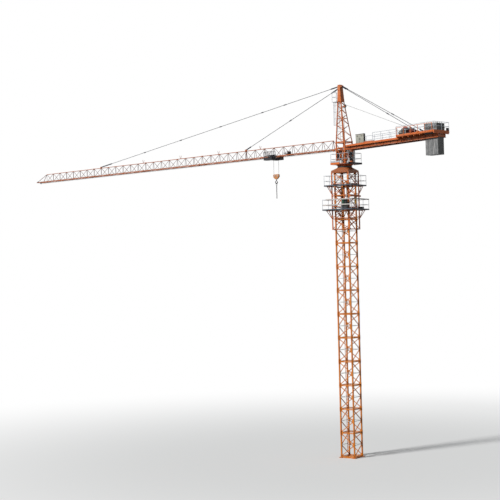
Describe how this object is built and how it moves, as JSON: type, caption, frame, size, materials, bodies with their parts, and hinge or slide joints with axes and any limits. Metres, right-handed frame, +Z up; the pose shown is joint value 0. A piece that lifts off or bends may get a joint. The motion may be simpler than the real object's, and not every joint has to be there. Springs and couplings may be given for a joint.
{
  "type": "tower crane, 1:2 scale model",
  "caption": "Hammerhead tower crane, scale model: lattice mast with climbing cage, slewing head, tied jib with travelling trolley and hook, counter-jib with ballast slabs.",
  "frame": {"origin": "centre of the underside of the base frame, on the mast's axis", "axes": "+Z up along the mast; +X along the jib, towards its tip; the cabin is on the -Y side"},
  "size_m": [33.8636, 2.1084, 19.705],
  "materials": {
    "mast_orange": "satin",
    "crane_red_orange": "satin",
    "galvanised_steel": "satin",
    "dark_steel": "satin",
    "bright_steel": "satin",
    "cylinder_yellow": "satin",
    "machine_green": "satin",
    "machine_blue": "satin",
    "cabin_white": "satin",
    "cabin_glass": "gloss",
    "tie_black": "satin",
    "cabinet_grey": "satin",
    "drum_red": "satin",
    "concrete": "matte",
    "trolley_black": "satin",
    "wire_rope": "matte",
    "block_orange": "satin"
  },
  "bodies": {
    "mast": {"base_frame": "mast_orange", "mast_section_1": "mast_orange", "mast_section_2": "mast_orange", "mast_section_3": "mast_orange", "mast_section_4": "mast_orange", "mast_section_5": "mast_orange", "mast_section_6": "mast_orange", "mast_section_7": "mast_orange", "mast_section_8": "mast_orange", "mast_section_9": "mast_orange", "mast_section_10": "mast_orange", "mast_section_11": "mast_orange", "mast_section_12": "mast_orange", "mast_ladder": "mast_orange", "climbing_cage": "crane_red_orange", "lower_platform": "galvanised_steel", "upper_platform": "galvanised_steel", "climbing_cylinder": "cylinder_yellow", "power_pack": "machine_green", "lower_slewing_seat": "crane_red_orange", "slewing_ring_fixed": "dark_steel"},
    "upper_crane": {"slewing_ring_moving": "bright_steel", "upper_slewing_seat": "crane_red_orange", "slewing_platform": "galvanised_steel", "slewing_motors": "machine_blue", "slewing_tower": "crane_red_orange", "cabin_shell": "cabin_white", "cabin_glass": "cabin_glass", "tower_head": "crane_red_orange", "head_platform": "galvanised_steel", "jib_section_1": "crane_red_orange", "jib_section_2": "crane_red_orange", "jib_section_3": "crane_red_orange", "jib_section_4": "crane_red_orange", "jib_section_5": "crane_red_orange", "jib_tie_long": "tie_black", "jib_tie_short": "tie_black", "counter_jib_ties": "tie_black", "counter_jib_frame": "mast_orange", "counter_jib_deck": "dark_steel", "counter_jib_railings": "galvanised_steel", "sign_frame": "crane_red_orange", "electric_cabinet": "cabinet_grey", "hoist_winch": "dark_steel", "hoist_drum": "drum_red", "hoist_rope": "wire_rope", "counterweights": "concrete", "trolley_winch": "dark_steel"},
    "trolley": {"trolley_frame": "trolley_black", "trolley_wheels": "bright_steel", "maintenance_basket": "trolley_black", "rope_falls": "wire_rope"},
    "hook_block": {"hook_block": "block_orange", "block_sheaves": "drum_red"},
    "hook": {"lifting_hook": "trolley_black", "chain_sling": "trolley_black"}
  },
  "joints": [
    {"name": "slew", "type": "hinge", "parent": "mast", "child": "upper_crane", "pos_m": [0, 0, 15.33], "axis": [0, 0, 1], "continuous": true},
    {"name": "trolley_travel", "type": "slide", "parent": "upper_crane", "child": "trolley", "axis": [1, 0, 0], "range_m": [-3.75, 21.4]},
    {"name": "hoist", "type": "slide", "parent": "trolley", "child": "hook_block", "axis": [0, 0, 1], "range_m": [-13, 0.7], "deforming": ["rope_falls"]},
    {"name": "hook_swivel", "type": "hinge", "parent": "hook_block", "child": "hook", "pos_m": [5.05, 0, 15], "axis": [0, 0, 1], "continuous": true}
  ]
}
